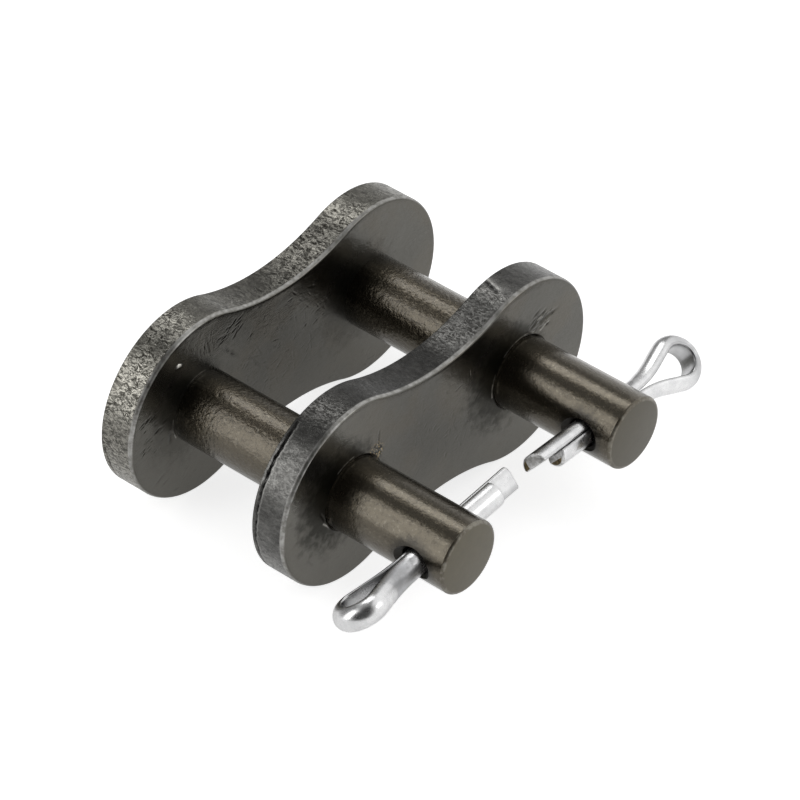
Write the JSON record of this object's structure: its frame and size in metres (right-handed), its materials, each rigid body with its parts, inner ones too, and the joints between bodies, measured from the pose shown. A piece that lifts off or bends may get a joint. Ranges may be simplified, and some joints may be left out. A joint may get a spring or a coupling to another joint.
{
  "type": "chain connecting link",
  "caption": "Cottered connecting link for a heavy roller chain: waisted plates on riveted pins, with a slip-fit cover plate kept on by split cotters through the pin ends.",
  "frame": {"origin": "midway between the pin axes, on the chain's centre plane when the link is made up", "axes": "+X along the chain, from pin_a to pin_b; the pins run along Y, with their free ends towards -Y; +Z across the height of the plates"},
  "size_m": [0.054, 0.0397, 0.0206],
  "materials": {
    "plate_steel": "blackened and oiled, satin",
    "pin_steel": "bronze-brown, satin",
    "zinc_plated_wire": "bright zinc plating"
  },
  "bodies": {
    "link": {"back_plate": "plate_steel", "pin_a": "pin_steel", "pin_b": "pin_steel"},
    "cover": {"cover_plate": "plate_steel"},
    "split_cotter_a": {"cotter_a": "zinc_plated_wire"},
    "split_cotter_b": {"cotter_b": "zinc_plated_wire"}
  },
  "joints": [
    {"name": "cover_plate_slide", "type": "slide", "parent": "link", "child": "cover", "axis": [0, -1, 0], "range_m": [-0.0157, 0.0083]},
    {"name": "cotter_a_slide", "type": "slide", "parent": "link", "child": "split_cotter_a", "axis": [-0.9942, 0, -0.108], "range_m": [-0.0002, 0.0152]},
    {"name": "cotter_b_slide", "type": "slide", "parent": "link", "child": "split_cotter_b", "axis": [1, 0, 0], "range_m": [-0.0002, 0.015]}
  ]
}
